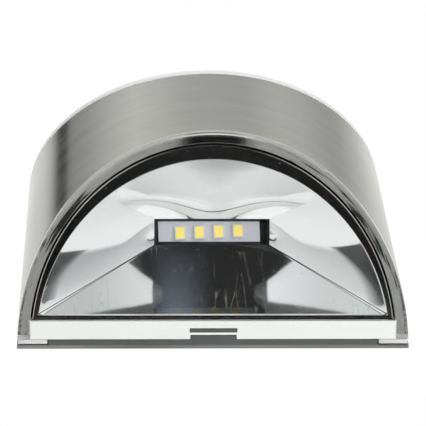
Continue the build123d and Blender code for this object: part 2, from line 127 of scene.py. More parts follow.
def lay_mesh(name, points, faces, body, slot, fold_angle=40):
    """A piece from points in millimetres and faces. Doubled points are merged, faces turned outwards, end
    faces of many sides kept flat, and folds beyond an angle kept sharp."""
    mesh = bpy.data.meshes.new(name)
    mesh.from_pydata((np.asarray(points) * 0.001).tolist(), [], [list(face) for face in faces])
    work = bmesh.new()
    work.from_mesh(mesh)
    bmesh.ops.remove_doubles(work, verts=work.verts, dist=1e-7)
    bmesh.ops.recalc_face_normals(work, faces=work.faces)
    work.to_mesh(mesh)
    work.free()
    mesh.set_sharp_from_angle(angle=math.radians(fold_angle))
    sides = np.empty(len(mesh.polygons), np.int32)
    mesh.polygons.foreach_get("loop_total", sides)
    mesh.polygons.foreach_set("use_smooth", sides == 4)
    piece = bpy.data.objects.new(name, mesh)
    bpy.context.scene.collection.objects.link(piece)
    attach(piece, body)
    return piece


def grid_faces(rows, columns, wrap_rows, wrap_columns):
    """Quads between neighbours in a grid of points that are numbered row by row."""
    index = np.arange(rows * columns).reshape(rows, columns)
    if wrap_rows:
        index = np.vstack([index, index[:1]])
    if wrap_columns:
        index = np.hstack([index, index[:, :1]])
    corners = [index[:-1, :-1], index[:-1, 1:], index[1:, 1:], index[1:, :-1]]
    return np.stack(corners, axis=2).reshape(-1, 4)


def sweep(section, back, steps):
    """A closed section carried round the arch. Each of its points has a radius, a depth below a slanted
    end face and that end, -1 for the lit end and 1 for the solar end. The angle runs to where the point's
    circle meets the plane that lies so far from the wall, and the height follows the end's slope."""
    radius, depth, end = np.array(section).T[:, :, None]
    angle = np.linspace(-1, 1, steps) * np.arccos(back / radius)
    out = radius * np.cos(angle)
    z = end * (height / 2 - out * math.tan(slope) - depth / math.cos(slope))
    points = np.stack([radius * np.sin(angle), -out, z], axis=2)
    rows = len(section)
    index = np.arange(rows * steps).reshape(rows, steps)
    faces = [*grid_faces(rows, steps, True, False), index[:, 0], index[:, -1]]
    return points.reshape(-1, 3), faces


def rounded(centre, radius, first, last, end, steps=5):
    """Points of an arc in a section, between two angles in degrees."""
    angle = np.radians(np.linspace(first, last, steps))
    return [(centre[0] + radius * math.sin(a), centre[1] - radius * math.cos(a), end) for a in angle]


# The wall with its rolled edges, then one lip for each end
fold, arch_steps = 0.5, 241
wall = [
    *rounded((band_radius - fold, cover + fold), fold, 0, 90, -1),
    *rounded((band_radius - fold, cover + fold), fold, 90, 0, 1),
    (band_radius - sheet, cover, 1), (band_radius - sheet, cover, -1),
]
lip_start, lip_round = 1.1, 0.1
lit_lip, solar_lip = 47.05, 47.6
points, faces = sweep(wall, lamp_back, arch_steps)
wall_faces = len(faces)
for end, lip_inner in ((-1, lit_lip), (1, solar_lip)):
    lip = [
        (band_radius - sheet / 2, cover, end),
        *rounded((lip_inner + lip_round, cover + lip_round), lip_round, 0, -90, end),
        (lip_inner, cover + sheet, end), (band_radius - sheet / 2, cover + sheet, end),
    ]
    more_points, more_faces = sweep(lip, lip_start, arch_steps)
    faces += [np.array(face) + len(points) for face in more_faces]
    points = np.vstack([points, more_points])
band = lay_mesh("band_shell", points, faces, "lamp", "steel")
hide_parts("steel_band")

# The brushing runs round the shell, so its map is the way round by the height. The lips' streaks run round
# too, so their map is the way round by the radius. All are in metres.
places = np.empty(len(band.data.vertices) * 3, np.float32)
band.data.vertices.foreach_get("co", places)
x, y, z = places.reshape(-1, 3).T
corner_of = np.empty(len(band.data.loops), np.int32)
band.data.loops.foreach_get("vertex_index", corner_of)
arc = band_radius * 0.001 * np.arctan2(x, -y)
for map_name, across in (("brushing", z), ("rolling", np.hypot(x, y))):
    spread = np.stack([arc, across], axis=1)[corner_of]
    band.data.uv_layers.new(name=map_name).uv.foreach_set("vector", spread.astype(np.float32).ravel())

# Brushed stainless: belt-brushed round the shell, so lights smear upright and stay sharper sideways.
# Brush lines of 0.1 mm are too fine to show: they are drawn 0.6 mm high and 14 mm long.
brushed_steel = finish("brushed stainless steel")
spot = add(brushed_steel, "UVMap", uv_map="brushing")
drawn_out = add(brushed_steel, "Mapping", {"Vector": spot, "Scale": (70.0, 1650.0, 1.0)})
lines = add(brushed_steel, "TexNoise", {
    "Vector": drawn_out, "Scale": 1.0, "Detail": 5.0, "Roughness": 0.65,
})
wide = add(brushed_steel, "Mapping", {"Vector": spot, "Scale": (28.0, 220.0, 1.0)})
bands = add(brushed_steel, "TexNoise", {"Vector": wide, "Scale": 1.0, "Detail": 3.0, "Roughness": 0.5})
both = add(brushed_steel, "Math", {0: lines, 1: bands}, operation="ADD")
matt = add(brushed_steel, "MapRange", {"Value": both, 1: 0.7, 2: 1.3, 3: 0.2, 4: 0.26})
mixed = add(brushed_steel, "MapRange", {"Value": both, 1: 0.7, 2: 1.3})
tone = add(brushed_steel, "Mix", {
    "Factor": mixed, 6: linear("C3C3BD"), 7: linear("CCCCC7"),
}, data_type="RGBA")
ridges = add(brushed_steel, "Bump", {"Height": lines, "Strength": 0.07, "Distance": 0.00004})
way_round = add(brushed_steel, "Tangent", direction_type="UV_MAP", uv_map="brushing")
steel = add(brushed_steel, "BsdfPrincipled", {
    "Base Color": tone.outputs[2], "Metallic": 1.0, "Roughness": matt.outputs[0], "Anisotropic": 1.0,
    "Anisotropic Rotation": 0.25, "Tangent": way_round, "Normal": ridges,
})
add(brushed_steel, "OutputMaterial", {"Surface": steel})
band.data.materials.append(brushed_steel)

# Rolled lip: the same sheet, burnished at the crown and duller beside it, with drawn-out streaks 0.5 mm
# wide. At both shoulders dark smears about 20 mm long are painted along the middle of the lip: painted dark
# reflections.
shoulder, lip_middle = 0.046, 0.0479
rolled_lip = finish("rolled steel lip with painted dark reflections")
spot = add(rolled_lip, "UVMap", uv_map="rolling")
drawn_out = add(rolled_lip, "Mapping", {"Vector": spot, "Scale": (120.0, 1900.0, 1.0)})
streaks = add(rolled_lip, "TexNoise", {"Vector": drawn_out, "Scale": 1.0, "Detail": 4.0, "Roughness": 0.6})
wide = add(rolled_lip, "Mapping", {"Vector": spot, "Scale": (75.0, 700.0, 1.0)})
clouds = add(rolled_lip, "TexNoise", {"Vector": wide, "Scale": 1.0, "Detail": 3.0})
both = add(rolled_lip, "Math", {0: streaks, 1: clouds}, operation="ADD")
axes = add(rolled_lip, "SeparateXYZ", {"Vector": spot})
from_crown = add(rolled_lip, "Math", {0: axes.outputs["X"]}, operation="ABSOLUTE")
past_shoulder = add(rolled_lip, "Math", {0: from_crown, 1: shoulder}, operation="SUBTRACT")
from_shoulder = add(rolled_lip, "Math", {0: past_shoulder}, operation="ABSOLUTE")
off_middle = add(rolled_lip, "Math", {0: axes.outputs["Y"], 1: lip_middle}, operation="SUBTRACT")
from_middle = add(rolled_lip, "Math", {0: off_middle}, operation="ABSOLUTE")
# Painted dark reflections: near each shoulder a band along the lip's middle darkens its colour.
along = add(rolled_lip, "MapRange", {"Value": from_shoulder, 1: 0.014, 2: 0.008, 4: 0.32})
dark_reflection_band = add(rolled_lip, "MapRange", {"Value": from_middle, 1: 0.0008, 2: 0.0005, 4: along.outputs[0]})
streaks_and_dark_reflection = add(rolled_lip, "Math", {0: both, 1: dark_reflection_band.outputs[0]}, operation="ADD")
dark_reflection_mask = add(rolled_lip, "MapRange", {"Value": streaks_and_dark_reflection, 1: 1.14, 2: 1.26})
tone = add(rolled_lip, "Mix", {
    "Factor": streaks, 6: linear("B4B4B0"), 7: linear("F2F2EE"),
}, data_type="RGBA")
dark = add(rolled_lip, "Mix", {
    "Factor": dark_reflection_mask.outputs[0], 6: tone.outputs[2], 7: linear("484846"),
}, data_type="RGBA")
matt = add(rolled_lip, "MapRange", {"Value": from_crown, 1: 0.0058, 2: 0.0122, 3: 0.1, 4: 0.52})
steel = add(rolled_lip, "BsdfPrincipled", {
    "Base Color": dark.outputs[2], "Metallic": 1.0, "Roughness": matt.outputs[0],
})
add(rolled_lip, "OutputMaterial", {"Surface": steel})
band.data.materials.append(rolled_lip)
on_lip = (np.arange(len(band.data.polygons)) >= wall_faces).astype(np.int32)
band.data.polygons.foreach_set("material_index", on_lip)

# Housing and battery door: white mouldings inside the band. The housing carries every inner piece, and its
# ledge is the white strip along the wall edge of the lit end. The door is screwed on from behind.
# White ABS with a satin surface: even, faintly warm in the shade, with a very fine grain of 0.5 mm.
white_abs = finish("white satin ABS")
spot = add(white_abs, "TexCoord")
grain = add(white_abs, "TexNoise", {"Vector": spot.outputs["Object"], "Scale": 2000.0, "Detail": 2.0})
cloud = add(white_abs, "TexNoise", {"Vector": spot.outputs["Object"], "Scale": 90.0, "Detail": 3.0})
tone = add(white_abs, "Mix", {"Factor": cloud, 6: linear("E6E8E6"), 7: linear("ECEEEC")}, data_type="RGBA")
matt = add(white_abs, "MapRange", {"Value": grain, 1: 0.3, 2: 0.7, 3: 0.34, 4: 0.44})
pits = add(white_abs, "Bump", {"Height": grain, "Strength": 0.05, "Distance": 0.00003})
plastic = add(white_abs, "BsdfPrincipled", {
    "Base Color": tone.outputs[2], "Roughness": matt.outputs[0], "IOR": 1.53, "Normal": pits,
})
add(white_abs, "OutputMaterial", {"Surface": plastic})
dress(white_abs, "housing", "battery_door")

# Slot shade: a dark grey tongue inside the ledge's slot, lying against the slot's wall side, that darkens
# the slot as painted shade. It takes the bracket's grey ABS finish, and its tip follows the ledge's slope.
slot_back, slot_half = 3.72, 6.0
shade_tongue_gap, shade_tongue_thick, shade_tongue_high, shade_tongue_inset, shade_tongue_round = 0.01, 0.95, -33.5, 0.04, 0.1


def bar(middle, half_long, corners, softness):
    """A bar along X. Its section's corner points are drawn in towards their middle by the softness at both
    ends; the rows run from one end to the other."""
    section = np.array(corners)
    drawn_in = section + (section.mean(axis=0) - section) * softness / np.ptp(section, axis=0).min()
    inner_half = half_long - softness
    places = [middle - half_long, middle - inner_half, middle + inner_half, middle + half_long]
    outlines = [drawn_in, section, section, drawn_in]
    points = np.vstack([np.insert(outline, 0, x, axis=1) for x, outline in zip(places, outlines)])
    index = np.arange(len(points)).reshape(4, -1)
    return points, [*grid_faces(4, len(section), False, True), index[0], index[-1]]


outs = slot_back + np.array([shade_tongue_gap, shade_tongue_thick])
tips = outs * math.tan(slope) - height / 2 + shade_tongue_inset
section = [(-outs[0], shade_tongue_high), (-outs[0], tips[0]), (-outs[1], tips[1]), (-outs[1], shade_tongue_high)]
# The tongue is painted shade: a dark piece put in the slot to darken it.
shade_tongue = lay_mesh("slot_shade_tongue", *bar(0, slot_half, section, shade_tongue_round), "lamp", "grey_plastic")
shade_tongue.data.materials.append(grey_abs)

# Battery: one rechargeable cell in a plain shrink sleeve, held between a pressed button plate and a leaf
# spring. The end caps, both contacts and all the small screws are nickel-plated steel.
# PVC shrink sleeve: glossy green film with faint ripples 3 mm apart where it shrank.
sleeve = finish("green shrink sleeve")
spot = add(sleeve, "TexCoord")
drawn_out = add(sleeve, "Mapping", {"Vector": spot.outputs["Object"], "Scale": (120.0, 320.0, 320.0)})
ripple = add(sleeve, "TexNoise", {"Vector": drawn_out, "Scale": 1.0, "Detail": 2.0})
tone = add(sleeve, "Mix", {"Factor": ripple, 6: linear("2E6B45"), 7: linear("3A7D53")}, data_type="RGBA")
waves = add(sleeve, "Bump", {"Height": ripple, "Strength": 0.2, "Distance": 0.0002})
film = add(sleeve, "BsdfPrincipled", {
    "Base Color": tone.outputs[2], "Roughness": 0.22, "IOR": 1.54, "Normal": waves,
})
add(sleeve, "OutputMaterial", {"Surface": film})
dress(sleeve, "battery")

# Nickel plate on pressed steel: a warm bright metal, a little dulled in patches of 2 mm.
nickel_plate = finish("nickel-plated steel")
spot = add(nickel_plate, "TexCoord")
patches = add(nickel_plate, "TexNoise", {"Vector": spot.outputs["Object"], "Scale": 500.0, "Detail": 3.0})
matt = add(nickel_plate, "MapRange", {"Value": patches, 1: 0.3, 2: 0.7, 3: 0.18, 4: 0.36})
tone = add(nickel_plate, "Mix", {
    "Factor": patches, 6: linear("BFBBB0"), 7: linear("D2CEC4"),
}, data_type="RGBA")
plated = add(nickel_plate, "BsdfPrincipled", {
    "Base Color": tone.outputs[2], "Metallic": 1.0, "Roughness": matt.outputs[0],
})
add(nickel_plate, "OutputMaterial", {"Surface": plated})
dress(nickel_plate, "battery_terminals", "contact_positive", "contact_negative")
dress(nickel_plate, "door_screws", "board_screws", "led_board_screws")

# Door seal: a flat cut rubber frame in the door's recess.
# Cut EPDM rubber: dull black with a fine 0.3 mm skin grain.
rubber = finish("black seal rubber")
spot = add(rubber, "TexCoord")
grain = add(rubber, "TexNoise", {"Vector": spot.outputs["Object"], "Scale": 3300.0, "Detail": 2.0})
tone = add(rubber, "Mix", {"Factor": grain, 6: linear("171717"), 7: linear("232322")}, data_type="RGBA")
skin = add(rubber, "Bump", {"Height": grain, "Strength": 0.2, "Distance": 0.00005})
soft = add(rubber, "BsdfPrincipled", {"Base Color": tone.outputs[2], "Roughness": 0.75, "Normal": skin})
add(rubber, "OutputMaterial", {"Surface": soft})
dress(rubber, "door_seal")

# Control board: a small glass-fibre board on two posts, with the driver chip and the drum inductor that
# lift the cell's voltage for the diodes. The on/off slide switch sits in a cradle behind the back wall.
# Green solder mask over woven glass: glossy, the 0.5 mm weave just shows as light and dark squares.
solder_mask = finish("green solder mask")
spot = add(solder_mask, "TexCoord")
weave = add(solder_mask, "TexChecker", {
    "Vector": spot.outputs["Object"], "Scale": 2000.0,
    "Color1": linear("1E5A34"), "Color2": linear("236239"),
})
cloud = add(solder_mask, "TexNoise", {"Vector": spot.outputs["Object"], "Scale": 300.0, "Detail": 2.0})
matt = add(solder_mask, "MapRange", {"Value": cloud, 1: 0.3, 2: 0.7, 3: 0.2, 4: 0.34})
mask = add(solder_mask, "BsdfPrincipled", {"Base Color": weave, "Roughness": matt.outputs[0], "IOR": 1.55})
add(solder_mask, "OutputMaterial", {"Surface": mask})
dress(solder_mask, "control_board")

# Glass-filled nylon: black, satin, speckled by short fibres 0.2 mm across.
black_nylon = finish("black glass-filled nylon")
spot = add(black_nylon, "TexCoord")
fibres = add(black_nylon, "TexNoise", {"Vector": spot.outputs["Object"], "Scale": 4500.0, "Detail": 3.0})
tone = add(black_nylon, "Mix", {
    "Factor": fibres, 6: linear("1B1B1C"), 7: linear("2B2B2C"),
}, data_type="RGBA")
matt = add(black_nylon, "MapRange", {"Value": fibres, 1: 0.3, 2: 0.7, 3: 0.35, 4: 0.55})
plastic = add(black_nylon, "BsdfPrincipled", {"Base Color": tone.outputs[2], "Roughness": matt.outputs[0]})
add(black_nylon, "OutputMaterial", {"Surface": plastic})
dress(black_nylon, "driver_chip", "inductor", "switch_body", "switch_knob")

# Reflector: a plastic moulding with a mirror coat. Ruled facets run from the half-round mouth down to the
# window for the diodes; the creases at the window's upper corners fade out towards the arch.
mouth_wide, mouth_tall, mouth_floor, mouth_depth = 45.3, 48.24, 8.395, 4.2
ridge_half = 27.5
window_half, window_high, window_reach, window_depth = 15.0, 6.9, 28.55, 14.0
collar_depth, collar_inset, collar_edge = 1.2, 0.8, 0.02
crease = 0.17
side_steps, floor_steps, bend_steps = (48, 72, 48), 60, 4


def on_lit_face(outline, depth):
    """Points across and up the lit face, at a depth below it, as places in the lamp."""
    across, up = outline.T
    out = up * math.cos(slope) - depth * math.sin(slope)
    z = -height / 2 + up * math.sin(slope) + depth * math.cos(slope)
    return np.stack([across, -out, z], axis=1)


def loop_of(corners, sides):
    """A closed outline whose corners are softened. Each side is the run of points from one corner to the
    next without its ends; between two sides a curve bends by halves towards the corner."""
    share = np.linspace(0, 1, bend_steps + 2)[1:-1, None]
    runs = []
    for side, corner, following in zip(sides, corners, sides[1:] + sides[:1]):
        bend = (1 - share) ** 2 * side[-1] + 2 * share * (1 - share) * corner + share ** 2 * following[0]
        runs += [side, bend]
    return np.vstack(runs)


def arch_outline(wide, tall, shift, floor):
    """Half an ellipse, so wide and tall and shifted upwards, over a floor line: right side arc, crown arc,
    left side arc, and the floor from left to right."""
    foot, ridge = math.asin((floor - shift) / tall), math.acos(ridge_half / mouth_wide)
    turns = [foot, ridge, math.pi - ridge, math.pi - foot]
    soft = crease / wide
    sides = []
    for first, last, steps in zip(turns[:-1], turns[1:], side_steps):
        angle = np.linspace(first + soft, last - soft, steps)
        sides.append(np.stack([wide * np.cos(angle), shift + tall * np.sin(angle)], axis=1))
    corners = [np.array((wide * math.cos(turn), shift + tall * math.sin(turn))) for turn in turns]
    run = np.linspace(crease - corners[0][0], corners[0][0] - crease, floor_steps)
    sides.append(np.stack([run, np.full(floor_steps, floor)], axis=1))
    return loop_of(corners[1:] + corners[:1], sides)


def mouth_outline(grow):
    """Outline of the mouth, grown outwards on all sides."""
    return arch_outline(mouth_wide + grow, mouth_tall + grow, 0, mouth_floor - grow)


def window_outline(grow):
    """Outline of the window, grown outwards on all sides: right edge upwards, top edge to the left, left
    edge down, and the lower edge."""
    side, half = window_half + grow, window_high / 2 + grow
    low, high = window_reach - half, window_reach + half
    corners = [np.array(c) for c in ((side, high), (-side, high), (-side, low), (side, low))]
    sides = []
    for corner, former, steps in zip(corners, corners[-1:] + corners[:-1], (*side_steps, floor_steps)):
        way = corner - former
        soft = crease / np.linalg.norm(way)
        sides.append(former + np.linspace(soft, 1 - soft, steps)[:, None] * way)
    return loop_of(corners, sides)


coat, rim_top = 1.1, 2.18
mouth, window = mouth_outline(0), window_outline(0)
columns = len(mouth)

# The side facets level out towards the window's upper corners: their slope falls off by a share at its
# edge. The easing grows with the height up the window's side, and outwards along its upper edge.
ease, ease_start = 0.37, 0.65
ease_height, ease_from, ease_run = 0.45, 9.0, 6.0
window_low = window_reach - window_high / 2
up_side = np.clip((window[:, 1] - window_low) / (ease_height * window_high), 0, 1)
by_corner = np.clip((np.abs(window[:, 0]) - ease_from) / ease_run, 0, 1)
eased = ease * up_side ** 2 * (3 - 2 * up_side) * by_corner ** 2 * (3 - 2 * by_corner)


def facet_row(share):
    """One row of the ruled facets: straight lines from the mouth to the window, at a share of their length.
    The depth grows evenly and then slackens with the cube of what is past the start of the easing."""
    past = max(0.0, share - ease_start)
    fall = share - eased * past ** 3 / (3 * (1 - ease_start) ** 2)
    depth = mouth_depth + (window_depth - mouth_depth) * fall
    return on_lit_face(mouth * (1 - share) + window * share, depth)


# Rolled rim and straight sleeve, then facets, then the uncoated collar, then the outside. The rim's and the
# collar's rows have their distance outside the mouth or the window, and their depth below the lit face.
facet_rows, back_step = 33, 1.0
collar_end = window_depth + collar_depth
rim = [(coat, rim_top + 0.4), (0.29, rim_top + 0.2), (0.24, rim_top), (0.08, rim_top), (0, rim_top + 0.1)]
collar = [(-collar_edge, window_depth + collar_edge), (-collar_inset, collar_end)]
collar += [(coat, collar_end), (coat, window_depth)]
rows = [on_lit_face(mouth_outline(grow), depth) for grow, depth in rim]
first_facet_row = len(rows)
rows += [facet_row(share) for share in np.linspace(0, 1, facet_rows)]
first_collar_row = len(rows)
rows += [on_lit_face(window_outline(grow), depth) for grow, depth in collar]
rows += [on_lit_face(mouth_outline(coat), mouth_depth + back_step)]
faces = grid_faces(len(rows), columns, True, True)
reflector = lay_mesh("reflector_mirror", np.vstack(rows), faces, "lamp", "mirror_coat", fold_angle=9)
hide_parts("reflector")

# Vacuum-metallised coat on a polished moulding: a bright mirror under a thin haze, with dust and with long
# scratches from wiping. Scratches are 0.05 mm wide in life and drawn 0.15 mm wide.
mirror_coat = finish("vacuum-metallised mirror")
spot = add(mirror_coat, "TexCoord")
haze = add(mirror_coat, "TexNoise", {"Vector": spot.outputs["Object"], "Scale": 140.0, "Detail": 4.0})
matt = add(mirror_coat, "MapRange", {"Value": haze, 1: 0.3, 2: 0.7, 3: 0.015, 4: 0.03})
dust = add(mirror_coat, "TexVoronoi", {"Vector": spot.outputs["Object"], "Scale": 450.0})
specks = add(mirror_coat, "MapRange", {"Value": dust, 1: 0.12, 2: 0.07})
wiped = add(mirror_coat, "Mapping", {
    "Vector": spot.outputs["Object"], "Rotation": (0.0, 0.0, 0.3), "Scale": (330.0, 45.0, 45.0),
})
cells = add(mirror_coat, "TexVoronoi", {"Vector": wiped, "Scale": 1.0}, feature="DISTANCE_TO_EDGE")
hairs = add(mirror_coat, "MapRange", {"Value": cells, 1: 0.03, 2: 0.012})
patches = add(mirror_coat, "MapRange", {"Value": haze, 1: 0.5, 2: 0.62})
scratches = add(mirror_coat, "Math", {0: hairs.outputs[0], 1: patches.outputs[0]}, operation="MULTIPLY")
marks = add(mirror_coat, "Math", {0: specks.outputs[0], 1: scratches}, operation="MAXIMUM")
veil = add(mirror_coat, "MapRange", {"Value": marks, 3: 0.015, 4: 0.05})
tone = add(mirror_coat, "Mix", {"Factor": haze, 6: linear("F4F5F4"), 7: linear("F7F8F7")}, data_type="RGBA")
metal = add(mirror_coat, "BsdfPrincipled", {
    "Base Color": tone.outputs[2], "Metallic": 1.0, "Roughness": matt.outputs[0],
})
lint = add(mirror_coat, "BsdfPrincipled", {
    "Base Color": linear("F0F0EE"), "Metallic": 1.0, "Roughness": 0.55,
})
worn = add(mirror_coat, "MixShader", {"Fac": veil.outputs[0], 1: metal, 2: lint})
add(mirror_coat, "OutputMaterial", {"Surface": worn})
reflector.data.materials.append(mirror_coat)

# The window's collar is left uncoated: bare black moulding.
reflector.data.materials.append(black_nylon)

# The floor facet is the one that gets wiped, so only there the marks show.
wiped_veil = 0.28
wiped_mirror = mirror_coat.copy()
wiped_mirror.name = "wiped vacuum-metallised mirror"
wiped_mirror.node_tree.nodes[veil.name].inputs["To Max"].default_value = wiped_veil

# The two lower creases are painted dull and dark: painted shade in the creases.
painted_crease_shade = finish("painted shade in a crease")
spot = add(painted_crease_shade, "TexCoord")
specks = add(painted_crease_shade, "TexNoise", {"Vector": spot.outputs["Object"], "Scale": 900.0, "Detail": 2.0})
tone = add(painted_crease_shade, "Mix", {
    "Factor": specks, 6: linear("2C2C2C"), 7: linear("6A6A68"),
}, data_type="RGBA")
metal = add(painted_crease_shade, "BsdfPrincipled", {
    "Base Color": tone.outputs[2], "Metallic": 0.6, "Roughness": 0.5,
})
add(painted_crease_shade, "OutputMaterial", {"Surface": metal})
reflector.data.materials.append(painted_crease_shade)
reflector.data.materials.append(wiped_mirror)
row_of, column_of = np.divmod(np.arange(len(reflector.data.polygons)), columns)
arch_columns = sum(side_steps) + 2 * bend_steps
floor_start = arch_columns + bend_steps
on_floor = (column_of >= floor_start) & (column_of < floor_start + floor_steps - 1)
in_crease = (column_of >= arch_columns - 1) & ~on_floor
on_collar = (row_of >= first_collar_row - 1) & (row_of <= first_collar_row + 2)
on_facet = (row_of >= first_facet_row) & (row_of < first_collar_row - 1)
coating = np.zeros(len(row_of), np.int32)
coating[on_collar] = 1
# The lower creases take the painted crease shade.
coating[on_facet & in_crease] = 2
coating[on_facet & on_floor] = 3
reflector.data.polygons.foreach_set("material_index", coating)

# Diode strip: a white board behind the window with four surface-mount diodes, a little askew as it was
# fitted. A black nylon holder, screwed to the back of the reflector, clamps it.
dress(black_nylon, "strip_holder")

# White solder mask: bright, glossy, faintly violet, with a soft mottle of 1 mm.
white_mask = finish("white solder mask")
spot = add(white_mask, "TexCoord")
mottle = add(white_mask, "TexNoise", {"Vector": spot.outputs["Object"], "Scale": 900.0, "Detail": 3.0})
tone = add(white_mask, "Mix", {
    "Factor": mottle, 6: linear("ECEDF8"), 7: linear("F8F8FE"),
}, data_type="RGBA")
mask = add(white_mask, "BsdfPrincipled", {"Base Color": tone.outputs[2], "Roughness": 0.3, "IOR": 1.55})
add(white_mask, "OutputMaterial", {"Surface": mask})
dress(white_mask, "led_board")

# Diode package: white PPA frame, a touch cream.
white_ppa = finish("cream white PPA")
spot = add(white_ppa, "TexCoord")
mottle = add(white_ppa, "TexNoise", {"Vector": spot.outputs["Object"], "Scale": 1500.0, "Detail": 2.0})
tone = add(white_ppa, "Mix", {"Factor": mottle, 6: linear("FAF8E6"), 7: linear("FDFCF2")}, data_type="RGBA")
moulding = add(white_ppa, "BsdfPrincipled", {"Base Color": tone.outputs[2], "Roughness": 0.45})
add(white_ppa, "OutputMaterial", {"Surface": moulding})
dress(white_ppa, "led_packages")

# Silicone filled with yellow phosphor: glossy, with grains of 0.4 mm, and a painted glow that brightens it,
# standing in for its faint fluorescence in daylight.
phosphor = finish("yellow phosphor silicone")
spot = add(phosphor, "TexCoord")
grains = add(phosphor, "TexNoise", {"Vector": spot.outputs["Object"], "Scale": 2600.0, "Detail": 3.0})
tone = add(phosphor, "Mix", {"Factor": grains, 6: linear("FBE04C"), 7: linear("FFF0A0")}, data_type="RGBA")
resin = add(phosphor, "BsdfPrincipled", {
    "Base Color": tone.outputs[2], "Roughness": 0.25, "IOR": 1.41, "Emission Color": tone.outputs[2],
    "Emission Strength": 0.4,
})
add(phosphor, "OutputMaterial", {"Surface": resin})
dress(phosphor, "led_phosphors")

# Gasket frame: a black moulding pressed between the clear cover and the reflector. Its rounded outer edge
# stands in a narrow groove beside the steel lip and catches a thin line of light, brightened by a painted
# highlight on the bead.
frame_outer, frame_body, frame_back, frame_deep = 46.5, 46.2, 5.8, 2.0
groove_outer, groove_deep = 46.95, 0.7
bead, bead_steps, opening, edge = 0.13, 11, 0.3, 0.1
cover_gap = 0.05


def frame_outline(radius, depth):
    """Outline of a half-round column's cut at a depth: an ellipse over the arch, and a line by the wall."""
    floor = (frame_back + depth * math.sin(slope)) / math.cos(slope)
    return arch_outline(radius, radius / math.cos(slope), depth * math.tan(slope), floor)


# Inner edge, flat, half-round bead, groove and body, each row with its distance or radius and its depth
top, bottom = cover + cover_gap, cover + frame_deep
inner = [(opening, bottom), (opening, top + edge), (opening + edge, top)]
turns = np.radians(np.linspace(-90, 90, bead_steps))
outer = [(frame_outer - bead + bead * math.sin(t), top + bead - bead * math.cos(t)) for t in turns]
outer += [(frame_outer, top + groove_deep), (groove_outer, top + groove_deep)]
outer += [(groove_outer, cover + sheet), (frame_body, cover + sheet), (frame_body, bottom)]
rows = [on_lit_face(mouth_outline(grow), depth) for grow, depth in inner]
rows += [on_lit_face(frame_outline(radius, depth), depth) for radius, depth in outer]
faces = grid_faces(len(rows), columns, True, True)
gasket = lay_mesh("gasket_frame", np.vstack(rows), faces, "lamp", "black_rubber")
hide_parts("lens_gasket")

# Polished black moulding: deep black with a brownish tint in patches of 25 mm, which is a painted
# reflection, and bright dust of 0.3 mm.
black_frame = finish("polished black moulding")
spot = add(black_frame, "TexCoord")
reflection_patches = add(black_frame, "TexNoise", {"Vector": spot.outputs["Object"], "Scale": 40.0, "Detail": 3.0})
brown_reflection = add(black_frame, "MapRange", {"Value": reflection_patches, 1: 0.45, 2: 0.7})
tone = add(black_frame, "Mix", {
    "Factor": brown_reflection.outputs[0], 6: linear("181716"), 7: linear("33231D"),
}, data_type="RGBA")
dust = add(black_frame, "TexVoronoi", {"Vector": spot.outputs["Object"], "Scale": 520.0})
specks = add(black_frame, "MapRange", {"Value": dust, 1: 0.12, 2: 0.07})
dusted = add(black_frame, "Mix", {
    "Factor": specks.outputs[0], 6: tone.outputs[2], 7: linear("5A5A58"),
}, data_type="RGBA")
plastic = add(black_frame, "BsdfPrincipled", {"Base Color": dusted.outputs[2], "Roughness": 0.14})
add(black_frame, "OutputMaterial", {"Surface": plastic})
gasket.data.materials.append(black_frame)

# The bead round the arch is painted as bright metal, a painted highlight line; within 15 mm of the crown it
# is painted darker, as painted shade, and along the wall the bead stays black.
painted_bead_highlight = finish("painted highlight on the bead")
spot = add(painted_bead_highlight, "TexCoord")
axes = add(painted_bead_highlight, "SeparateXYZ", {"Vector": spot.outputs["Object"]})
sideways = add(painted_bead_highlight, "Math", {0: axes.outputs["X"]}, operation="ABSOLUTE")
highlight_share = add(painted_bead_highlight, "MapRange", {"Value": sideways, 1: 0.01, 2: 0.028})
tone = add(painted_bead_highlight, "Mix", {
    "Factor": highlight_share.outputs[0], 6: linear("5A5A5A"), 7: linear("E8E8E8"),
}, data_type="RGBA")
metal = add(painted_bead_highlight, "BsdfPrincipled", {
    "Base Color": tone.outputs[2], "Metallic": 1.0, "Roughness": 0.12,
})
add(painted_bead_highlight, "OutputMaterial", {"Surface": metal})
gasket.data.materials.append(painted_bead_highlight)
row_of, column_of = np.divmod(np.arange(len(gasket.data.polygons)), columns)
on_bead = (row_of >= len(inner)) & (row_of < len(inner) + bead_steps - 1)
# The bead's arch faces take the painted highlight.
highlighted_bead = on_bead & (column_of < arch_columns)
gasket.data.polygons.foreach_set("material_index", highlighted_bead.astype(np.int32))

# Clear covers: injection-moulded plates that close both slanted ends, flush with the band. The lit end's
# plate leaves room for the wall bracket and its tab.
leg_side, leg_back, sill_edge = 46.8, 2.05, 7.2
edge_round, round_steps, inner_round, leg_round = 0.5, 6, 0.2, 0.15
rim_steps = 321


